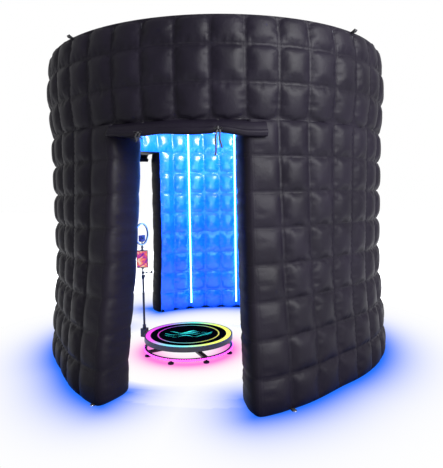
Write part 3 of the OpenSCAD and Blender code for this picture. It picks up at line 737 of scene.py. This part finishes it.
# ---- Webbing tabs: loops of 30 mm polyester webbing are sewn into the top seam for guy lines, and
# into the foot of the wall for pegs, where each holds a welded steel ring.
whole, rings = bmesh.new(), bmesh.new()
top_tab_angles = [(10 * i - 4) * column_angle for i in range(4)]
peg_tab_angles = [math.radians(a) for a in (-20, 27, 90, 153, 222, -96)]
for angle in top_tab_angles:
    r = float(settled(seam_radius(tent_top), angle, tent_top)[0])
    path = [at_angle(r + x, angle, tent_top + z_) for x, z_ in
            ((-0.004, 0.0), (0.008, 0.004), (0.020, 0.010), (0.029, 0.016), (0.034, 0.011), (0.030, 0.003),
             (0.020, -0.002), (0.008, -0.003), (-0.004, -0.001))]
    strip(whole, path, (math.cos(angle), math.sin(angle), 0), 0.030)
for angle in peg_tab_angles:
    r = float(settled(seam_radius(0.0), angle, 0.0)[0]) + 0.010
    path = [at_angle(r + x, angle, z_) for x, z_ in
            ((-0.014, 0.004), (0.004, 0.003), (0.020, 0.003), (0.028, 0.004), (0.031, 0.0065),
             (0.028, 0.009), (0.020, 0.010), (0.004, 0.008), (-0.014, 0.009))]
    strip(whole, path, (math.cos(angle), math.sin(angle), 0), 0.030)
    ring = bmesh.ops.create_circle(rings, segments=10, radius=0.002)["verts"]
    turn_round(rings, ring, math.radians(90), "X")
    bmesh.ops.translate(rings, verts=ring, vec=(0.012, 0, 0))
    edges = list({e for v in ring for e in v.link_edges})
    before = set(rings.verts) - set(ring)
    bmesh.ops.spin(rings, geom=list(ring) + edges, cent=(0, 0, 0), axis=(0, 0, 1), angle=2 * math.pi,
                   steps=28, use_merge=True, use_duplicate=False)
    made_now = [v for v in rings.verts if v not in before]
    bmesh.ops.translate(rings, verts=made_now, vec=at_angle(r + 0.030, angle, 0.0062))
webbing_loops = to_mesh(whole, "webbing_loops")
thicken(webbing_loops, "webbing_thickness", 0.0018)
webbing_loops.data.materials.append(ribbon_black)
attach(webbing_loops, "root")
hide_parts("tie_down_tabs")
bmesh.ops.remove_doubles(rings, verts=rings.verts, dist=1e-5)
bmesh.ops.recalc_face_normals(rings, faces=rings.faces)
peg_rings = to_mesh(rings, "peg_rings")


def scratched_metal(name, colour, roughness, grain_mm, **values):
    """Bare metal with fine grain and slightly uneven polish."""
    made, tree, shader = finish(name, Metallic=1.0, Base_Color=hex_colour(colour), **values)
    grain = add(tree, "TexNoise", {"Vector": where(tree), "Scale": 1000 / grain_mm, "Detail": 4.0})
    ranged(tree, shader, grain.outputs["Fac"], roughness - 0.08, roughness + 0.12)
    bumped(tree, shader, grain.outputs["Fac"], 0.12, 0.0005)
    return made


steel_bright = scratched_metal("zinc_plated_steel", "#b9bdc4", 0.32, 6)
peg_rings.data.materials.append(steel_bright)
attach(peg_rings, "root")

# ---- Light strips: flexible silicone tubes 16 mm wide, lit from inside, stand against every third
# seam of the lining. They look almost white with a cyan edge.
strip_box, strip_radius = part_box("wall_led_strips"), 1.1707
strip_angles = [math.radians(a) for a in (45, 72, 99, 126, 153, 180, 207, 288, 315)]
whole = bmesh.new()
for angle in strip_angles:
    lit = bmesh.ops.create_circle(whole, cap_ends=True, segments=16, radius=1.0)["verts"]
    bmesh.ops.scale(whole, verts=lit, vec=(0.008, 0.004, 1))
    for vert in lit:
        vert.co.y = max(vert.co.y, -0.0025)
    face = [f for f in lit[0].link_faces][0]
    new = bmesh.ops.extrude_face_region(whole, geom=[face])["geom"]
    top = [g for g in new if isinstance(g, bmesh.types.BMVert)]
    bmesh.ops.translate(whole, verts=top, vec=(0, 0, strip_box[1].z - strip_box[0].z))
    every = list(lit) + top
    turn_round(whole, every, angle)
    bmesh.ops.translate(whole, verts=every, vec=at_angle(strip_radius, angle, strip_box[0].z))
bmesh.ops.recalc_face_normals(whole, faces=whole.faces)
cabin_strips = to_mesh(whole, "cabin_light_strips")
cabin_strips.data.shade_flat()
for polygon in cabin_strips.data.polygons:
    polygon.use_smooth = abs(polygon.normal.z) < 0.5
silicone_cyan, tree, shader = finish("lit_silicone_cyan", Roughness=0.45, Subsurface_Weight=0.2,
                                     Base_Color=hex_colour("#d8ffff"))
height = add(tree, "SeparateXYZ", {"Vector": where(tree)}).outputs["Z"]
# Light points are 10 mm apart behind the silicone and show as a faint ripple.
ripple = sum_of(tree, "SINE", sum_of(tree, "MULTIPLY", height, 2 * math.pi / 0.010))
ranged(tree, shader, ripple, 5.0, 7.0, "Emission Strength", From_Min=-1.0)
shader.inputs["Emission Color"].default_value = hex_colour("#8af6ff")
cabin_strips.data.materials.append(silicone_cyan)
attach(cabin_strips, "root")
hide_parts("wall_led_strips")

# ---- Deflation zip: black nylon tape 30 mm wide with moulded teeth, sewn into the rear door's end.
# The slider is bare cast metal and stays as designed.
tape_low, tape_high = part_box("zip_tape")
tape_angle = rear_door + half_door
tape_out = Vector((math.sin(tape_angle), -math.cos(tape_angle), 0))
tape_middle = (tape_low + tape_high) / 2
whole = bmesh.new()
for side in (-1, 1):
    path = [tape_middle + tape_out * side * 0.009 + Vector((0, 0, z_))
            for z_ in np.linspace(tape_low.z - tape_middle.z, tape_high.z - tape_middle.z, 40)]
    strip(whole, path, tape_out, 0.0125)
bmesh.ops.solidify(whole, geom=whole.faces[:], thickness=0.0012)
teeth = int((tape_high.z - tape_low.z - 0.012) / 0.0045)
for number in range(teeth):
    tooth = bmesh.ops.create_cube(whole, size=1.0)["verts"]
    bmesh.ops.scale(whole, verts=tooth, vec=(0.0052, 0.0016, 0.0026))
    turn_round(whole, tooth, tape_angle - math.radians(90))
    side = 0.0012 if number % 2 else -0.0012
    bmesh.ops.translate(whole, verts=tooth, vec=tape_middle + tape_out * side
                        + Vector((0, 0, tape_low.z - tape_middle.z + 0.008 + number * 0.0045)))
zip_tape_cloth = to_mesh(whole, "zip_tape_cloth")
zip_tape_cloth.data.shade_flat()
zip_tape_cloth.data.materials.append(ribbon_black)
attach(zip_tape_cloth, "root")
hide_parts("zip_tape")


# ---- Webs inside the wall: plain uncoated polyester, sewn to both cloths along every seam. They are
# undyed and never show. Upright ones stand at each column, level ones run round at each row.
def paint(made, *nodes):
    """Gives designed parts a finish."""
    for name in nodes:
        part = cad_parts[name]
        part.data.materials.clear()
        part.data.materials.append(made)


web_cloth, tree, shader = finish("plain_polyester_web", Roughness=0.8)
# Threads 0.6 mm apart, drawn 5 mm apart so that they show at all.
threads = add(tree, "TexChecker", {"Vector": where(tree), "Scale": 200.0, "Color1": hex_colour("#cdd1da"),
                                   "Color2": hex_colour("#bfc4ce")})
join(tree, threads.outputs["Color"], shader, "Base Color")
bumped(tree, shader, threads.outputs["Fac"], 0.2, 0.0004)

web_inset = 0.002


def at_door(angle):
    """Whether an upright seam is over a door or at its edge."""
    return min(float(door_gap(angle, 0.0)), float(door_gap(angle, rear_door))) < 0.01


whole = bmesh.new()
for number in range(columns):
    angle = number * column_angle
    first = door_row if at_door(angle) else 0
    web = bmesh.ops.create_grid(whole, x_segments=1, y_segments=2 * (rows - first), size=1.0)["verts"]
    for vert in web:
        z = row_level(first + (vert.co.y / 2 + 0.5) * (rows - first))
        inwards = web_inset + (wall_width - 2 * web_inset) * (vert.co.x / 2 + 0.5)
        radius, turned, z = settled(float(seam_radius(z)) - inwards, angle, z)
        vert.co = at_angle(float(radius), turned, float(z) + web_inset)
upright_webs = to_mesh(whole, "upright_webs")
whole = bmesh.new()
for row in range(1, rows):
    z = row_level(row)
    free = column_angle / 2
    if row > door_row:
        spans = [(0.0, 2 * math.pi)]
    else:
        spans = [(-11 * column_angle + free, 9 * column_angle - 2 * free),
                 (2 * column_angle + free, 23 * column_angle - 2 * free)]
    for start, sweep in spans:
        spin_line(whole, [at_angle(float(seam_radius(z)) - away, start, z)
                          for away in (web_inset, wall_width / 2, wall_width - web_inset)],
                  sweep, int(round(sweep / column_angle)) * 3, row > door_row)
level_webs = to_mesh(whole, "level_webs")
radius, angle, z = settled(*polar(points_of(level_webs.data)))
set_points(level_webs, from_polar(radius, angle, z))
for piece, node in ((upright_webs, "vertical_baffles"), (level_webs, "ring_baffles")):
    piece.data.materials.append(web_cloth)
    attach(piece, "root")
    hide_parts(node)


# ---- Moulded black plastic: ABS from a spark-eroded mould. It has a satin face with a fine even
# grain, and patches that differ a little in tone and polish.
def moulded_plastic(name, dark, light, roughness, grain_mm, **values):
    made, tree, shader = finish(name, **values)
    place = where(tree)
    grain = add(tree, "TexNoise", {"Vector": place, "Scale": 1000 / grain_mm, "Detail": 3.0})
    wear = add(tree, "TexNoise", {"Vector": place, "Scale": 14.0, "Detail": 5.0}).outputs["Fac"]
    tinted(tree, shader, wear, [(0.35, dark), (0.8, light)])
    ranged(tree, shader, wear, roughness - 0.1, roughness + 0.1)
    bumped(tree, shader, grain.outputs["Fac"], 0.3, 0.0004)
    return made


abs_black = moulded_plastic("abs_plastic_black", "#141416", "#222226", 0.45, 1.6)
paint(abs_black, "led_driver", "power_inlet", "blower_housings", "blower_grilles", "control_box",
      "clamp_collar", "clamp_knob", "ring_light", "camera_clamp", "tablet_clamp", "side_arm")
paint(moulded_plastic("abs_plastic_red", "#b0121b", "#d2202a", 0.25, 2.0), "power_switch")
paint(moulded_plastic("nylon_white", "#dfe3ea", "#eef1f6", 0.5, 1.6), "blower_fan_1", "blower_fan_2")
paint(moulded_plastic("opal_acrylic", "#d6dae2", "#e6e9ef", 0.3, 3.0, Subsurface_Weight=0.3),
      "ring_diffuser")
paint(moulded_plastic("painted_plastic_violet_grey", "#433b60", "#5c5280", 0.38, 1.6), "camera")

# ---- Rubber of the feet and the drive belt: black moulded nitrile, dull, with a light bloom.
paint(moulded_plastic("nitrile_rubber", "#0f0f10", "#1d1d1e", 0.78, 2.2, Specular_IOR_Level=0.3),
      "foot_pads", "drive_belt")


# ---- Powder-coated steel of the hoop, spokes, column, arm and pole: an even satin coat over bent
# and welded steel, with the fine orange peel that baked powder has.
def powder_coat(name, dark, light, roughness):
    made, tree, shader = finish(name, Specular_IOR_Level=0.5, Coat_Weight=0.15, Coat_Roughness=0.3)
    place = where(tree)
    peel = add(tree, "TexVoronoi", {"Vector": place, "Scale": 420.0}, feature="SMOOTH_F1")
    patch = add(tree, "TexNoise", {"Vector": place, "Scale": 9.0, "Detail": 4.0}).outputs["Fac"]
    tinted(tree, shader, patch, [(0.3, dark), (0.8, light)])
    ranged(tree, shader, patch, roughness - 0.07, roughness + 0.1)
    bumped(tree, shader, peel.outputs["Distance"], 0.18, 0.0004)
    return made


steel_black = powder_coat("powder_coated_steel_black", "#121214", "#1f1f23", 0.42)
paint(steel_black, "arm_beam", "pole_bracket", "lower_tube", "upper_tube", "base_spokes", "lower_hoop",
      "centre_column")
steel_grey = powder_coat("powder_coated_steel_grey", "#2b2b30", "#3a3a40", 0.42)
paint(steel_grey, "deck_skirt", "deck_frame")
paint(steel_bright, "bearing_inner_race", "bearing_outer_race", "bearing_balls", "zip_slider",
      "gear_motor", "blower_motors")
paint(scratched_metal("machined_aluminium", "#d5d7db", 0.3, 4), "motor_pulley", "arm_hub", "speed_knob")

# ---- Deck: toughened black glass, etched so that it isn't slippery, with faint wipe marks. Two rings of
# lit acrylic lie flush in it; their colour runs from pink through white and green to yellow.
platform = (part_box("deck_skirt")[0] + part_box("deck_skirt")[1]) / 2
deck_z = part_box("deck_top")[1].z
glass_black, tree, shader = finish("etched_glass_black", Base_Color=hex_colour("#070708"),
                                   Specular_IOR_Level=0.0)
wipes = add(tree, "TexNoise", {"Vector": where(tree), "Scale": 18.0, "Detail": 6.0, "Distortion": 1.5})
ranged(tree, shader, wipes.outputs["Fac"], 0.38, 0.55)
paint(glass_black, "deck_top")


def round_platform(tree):
    """How far round the platform a place is, from 0 to 1."""
    centred = add(tree, "Mapping", {"Vector": where(tree), "Location": (-platform.x, -platform.y, 0)})
    return add(tree, "TexGradient", {"Vector": centred.outputs["Vector"]},
               gradient_type="RADIAL").outputs["Fac"]


def lit_ring(name, strength, stops):
    made, tree, shader = finish(name, Roughness=0.4, Base_Color=hex_colour("#161618"),
                                Specular_IOR_Level=0.1)
    tinted(tree, shader, round_platform(tree), stops, "Emission Color")
    # Light points 8 mm apart under the acrylic show as a faint ripple.
    beads = add(tree, "TexVoronoi", {"Vector": where(tree), "Scale": 125.0})
    ranged(tree, shader, beads.outputs["Distance"], strength * 1.15, strength * 0.8, "Emission Strength")
    return made


ring_hues = [(0.0, "#f02be0"), (0.12, "#e04fe0"), (0.20, "#7fd8e0"), (0.27, "#7fe8d8"), (0.36, "#e8f83a"),
             (0.5, "#fff01e"), (0.66, "#e8ff40"), (0.76, "#58e8c8"), (0.88, "#b050d8"), (1.0, "#f02be0")]
paint(lit_ring("lit_acrylic_outer", 1.3, ring_hues), "deck_outer_light")
paint(lit_ring("lit_acrylic_inner", 0.8, ring_hues), "deck_inner_light")

# ---- Strip round the lower hoop: pink silicone with separate light points 16 mm apart.
made, tree, shader = finish("lit_silicone_pink", Roughness=0.4, Base_Color=hex_colour("#ff7cf0"))
beads = sum_of(tree, "SINE", sum_of(tree, "MULTIPLY", round_platform(tree), 120 * 2 * math.pi))
ranged(tree, shader, beads, 1.2, 9.0, "Emission Strength", From_Min=0.2)
shader.inputs["Emission Color"].default_value = hex_colour("#ff2fd6")
paint(made, "hoop_led_strip")

# ---- Inlay in the deck: a loose swash of teal film under the glass, four bands that cross the
# standing disc. It stands in for the printed mark that such decks carry, and says nothing.
# The film is no lamp: its emission is painted glow, in a teal that varies at random.
teal_film_painted_glow, tree, shader = finish("printed_film_teal_painted_glow", Roughness=0.3, Base_Color=hex_colour("#0aa88c"),
                                 Emission_Strength=1.6, Specular_IOR_Level=0.1)
painted_glow_flow = add(tree, "TexNoise", {"Vector": where(tree), "Scale": 30.0, "Detail": 3.0})
tinted(tree, shader, painted_glow_flow.outputs["Fac"], [(0.3, "#0c9c80"), (0.7, "#3fe0b4")], "Emission Color")
bands = ((0.34, 0.050, 0.030, 0.016, 0.4), (0.44, 0.012, 0.036, 0.020, 1.5),
         (0.44, -0.028, 0.036, 0.014, 1.9), (0.30, -0.075, 0.026, 0.016, 2.6))
whole = bmesh.new()
for length, shift_y, swing, fat, phase in bands:
    band = bmesh.ops.create_grid(whole, x_segments=48, y_segments=2, size=1.0)["verts"]
    for vert in band:
        u, v = vert.co.x, vert.co.y
        width = fat * (1 - u * u) ** 0.5 * (0.55 + 0.45 * math.sin(6.5 * u + phase))
        vert.co = (u * length / 2, shift_y + swing * math.sin(5.2 * u + phase) + v * width / 2, 0)
    turn_round(whole, band, math.radians(14))
    bmesh.ops.translate(whole, verts=band, vec=(platform.x, platform.y, deck_z + 0.0005))
deck_inlay = to_mesh(whole, "deck_inlay")
deck_inlay.data.materials.append(teal_film_painted_glow)
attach(deck_inlay, "root")

# ---- Tablet: black aluminium shell with a glass screen that shows a plain field of warm colours.
shell_black = powder_coat("anodised_aluminium_black", "#101013", "#1b1b1f", 0.35)
paint(shell_black, "tablet")
pole = np.array([p.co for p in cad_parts["upper_tube"].data.vertices])[:, :2].mean(0)
tablet_turn = math.radians(285)
tablet_face = Vector((math.cos(tablet_turn), math.sin(tablet_turn), 0))
tablet_side = Vector((-math.sin(tablet_turn), math.cos(tablet_turn), 0))
tablet_points = np.array([p.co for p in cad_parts["tablet"].data.vertices])
tablet_front = float((tablet_points @ np.array(tablet_face)).max())
side_places = tablet_points @ np.array(tablet_side)
side_low, side_high = float(side_places.min()), float(side_places.max())
screen_w = side_high - side_low - 0.012
tablet_low, tablet_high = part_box("tablet")
screen_h = tablet_high.z - tablet_low.z - 0.016
screen_middle = (tablet_face * (tablet_front + 0.0004) + tablet_side * (side_high + side_low) / 2
                 + Vector((0, 0, (tablet_low.z + tablet_high.z) / 2)))
whole = bmesh.new()
screen = bmesh.ops.create_grid(whole, x_segments=6, y_segments=8, size=0.5)["verts"]
bmesh.ops.scale(whole, verts=screen, vec=(screen_w, screen_h, 1))
turn_round(whole, screen, math.radians(90), "X")
turn_round(whole, screen, tablet_turn + math.radians(90))
bmesh.ops.translate(whole, verts=screen, vec=screen_middle)
tablet_screen = to_mesh(whole, "tablet_screen")
lit_glass, tree, shader = finish("lit_screen_glass", Roughness=0.12, Base_Color=hex_colour("#0c0c10"),
                                 Coat_Weight=0.6, Coat_Roughness=0.05)
cloud = add(tree, "TexNoise", {"Vector": where(tree), "Scale": 22.0, "Detail": 1.5, "Distortion": 1.2})
tinted(tree, shader, cloud.outputs["Fac"],
       [(0.30, "#5a2a9c"), (0.44, "#d23c8c"), (0.55, "#ff7a3c"), (0.68, "#ffd9b0")], "Emission Color")
shader.inputs["Emission Strength"].default_value = 0.9
tablet_screen.data.materials.append(lit_glass)
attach(tablet_screen, "tablet_head")

# ---- Camera lens: a black rim and a domed front glass, on the barrel that faces the deck.
arm_turn = math.radians(165)
arm_along = Vector((math.cos(arm_turn), math.sin(arm_turn), 0))
arm_side = Vector((-math.sin(arm_turn), math.cos(arm_turn), 0))
lens_middle = Vector((pole[0], pole[1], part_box("camera")[1].z - 0.020)) - arm_along * 0.0222 + arm_side * 0.016
for name, made, profile in (("camera_lens_rim", abs_black,
                             [(0.0142, -0.004), (0.0148, -0.003), (0.0148, 0.001), (0.0140, 0.002),
                              (0.0118, 0.002), (0.0112, 0.000)]),
                            ("camera_lens_glass", None,
                             [(0.0112, 0.0003), (0.0085, 0.0012), (0.0045, 0.0018), (0.0, 0.0020)])):
    whole = bmesh.new()
    spin_line(whole, [(x, 0, z_) for x, z_ in profile], 2 * math.pi, 40, True)
    bmesh.ops.remove_doubles(whole, verts=whole.verts, dist=1e-6)
    bmesh.ops.recalc_face_normals(whole, faces=whole.faces)
    turn_round(whole, whole.verts, math.radians(90), "Y")
    turn_round(whole, whole.verts, arm_turn + math.pi)
    bmesh.ops.translate(whole, verts=whole.verts, vec=lens_middle)
    piece = to_mesh(whole, name)
    if made is None:
        made, tree, shader = finish("coated_lens_glass", Base_Color=hex_colour("#0a0716"), Coat_Weight=1.0,
                                    Coat_Roughness=0.03)
        bloom = add(tree, "TexNoise", {"Vector": where(tree), "Scale": 60.0})
        ranged(tree, shader, bloom.outputs["Fac"], 0.03, 0.12)
    piece.data.materials.append(made)
    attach(piece, "ring_head")

# ---- Floor and light: a plain pale floor and a white surround, a large soft lamp from the front
# right, blue lamps in the cabin for the strips, and emissive films that paint coloured light where it falls.
whole = bmesh.new()
bmesh.ops.create_grid(whole, x_segments=1, y_segments=1, size=30.0)
floor = to_mesh(whole, "floor")
floor.location.z = -0.001
pale, tree, shader = finish("pale_floor", Roughness=0.7, Specular_IOR_Level=0.2,
                            Emission_Color=(1, 1, 1, 1), Emission_Strength=0.12)
cloudy = add(tree, "TexNoise", {"Vector": where(tree), "Scale": 0.8})
tinted(tree, shader, cloudy.outputs["Fac"], [(0.3, "#f4f5f8"), (0.7, "#f8f9fb")])
floor.data.materials.append(pale)
world = bpy.data.worlds.new("white_room")
bpy.context.scene.world = world
world.use_nodes = True
world.node_tree.nodes["Background"].inputs["Color"].default_value = (1, 1, 1, 1)
world.node_tree.nodes["Background"].inputs["Strength"].default_value = 1.0
bpy.context.scene.view_settings.view_transform = "Standard"


def lamp(name, place, energy, colour, size, aim):
    data = bpy.data.lights.new(name, "AREA")
    data.energy, data.color, data.size = energy, hex_colour(colour)[:3], size
    made = bpy.data.objects.new(name, data)
    made.location = place
    made.rotation_euler = (Vector(aim) - Vector(place)).to_track_quat("-Z", "Y").to_euler()
    bpy.context.scene.collection.objects.link(made)


lamp("soft_front_right", (4.5, -4.0, 4.2), 1450, "#ffffff", 3.0, (0, 0, 1.2))
lamp("soft_front_left", (-5.0, -3.5, 3.6), 20, "#ffffff", 3.0, (0, 0, 1.2))
lamp("soft_back", (-0.5, 6.0, 4.0), 800, "#ffffff", 3.0, (0, 0, 1.2))
for number, bearing in enumerate((60, 110, 155, 200, 300)):
    lamp("cabin_blue_%d" % number, at_angle(0.25, math.radians(bearing), 1.5), 14, "#5a9cff", 0.9,
         at_angle(1.2, math.radians(bearing), 1.35))


def floor_light(name, size, steps, z, strength_at, colour):
    """An emissive film on the floor that paints the object's own coloured light where it falls, strong to
    nothing.
    """
    whole = bmesh.new()
    bmesh.ops.create_grid(whole, x_segments=steps, y_segments=steps, size=size)
    film = to_mesh(whole, name)
    places = points_of(film.data)
    strength = strength_at(places)
    places[:, 2] = z
    set_points(film, places)
    layer = film.data.attributes.new("strength", "FLOAT", "POINT")
    layer.data.foreach_set("value", strength.astype(np.float32))
    made, tree, shader = finish(name, Base_Color=(0, 0, 0, 1), Specular_IOR_Level=0.0,
                                Emission_Strength=1.0)
    share = add(tree, "Attribute", attribute_name="strength")
    tinted(tree, shader, share.outputs["Fac"], [(0, "#ffffff"), (1, colour)], "Emission Color")
    ranged(tree, shader, share.outputs["Fac"], 0.0, 1.0, "Alpha", From_Max=0.003)
    film.data.materials.append(made)
    film.visible_shadow = False


def round_the_wall(places):
    """Strength of the blue light: strong at the wall's foot, gone half a metre away."""
    radius, angle, _ = polar(places)
    splay = foot_splay(angle, 0.0)
    inner, outer = 1.25 + splay, 1.53 + splay
    beside = np.maximum(-door_gap(angle, 0.0), -door_gap(angle, rear_door)).clip(0) * radius
    beyond = np.maximum(np.maximum(inner - radius, radius - outer), 0)
    away = np.hypot(beside, beyond)
    reach = np.where(radius < (inner + outer) / 2, 0.2, 0.25)
    most = np.where(radius < inner, 0.88, 0.98)
    return most * np.exp(-(away / reach) ** 1.35)


def round_the_hoop(places):
    """Strength of the pink light round the platform."""
    away = np.hypot(places[:, 0] - platform.x, places[:, 1] - platform.y) - 0.40
    outside = np.exp(-(np.maximum(away, 0) / 0.11) ** 1.3)
    return 0.85 * outside * np.exp(-(np.minimum(away, 0) / 0.16) ** 2)


floor_light("blue_light_on_floor", 2.6, 240, 0.0004, round_the_wall, "#0070ff")
floor_light("pink_light_on_floor", 1.3, 160, 0.0008, round_the_hoop, "#ff4fd8")
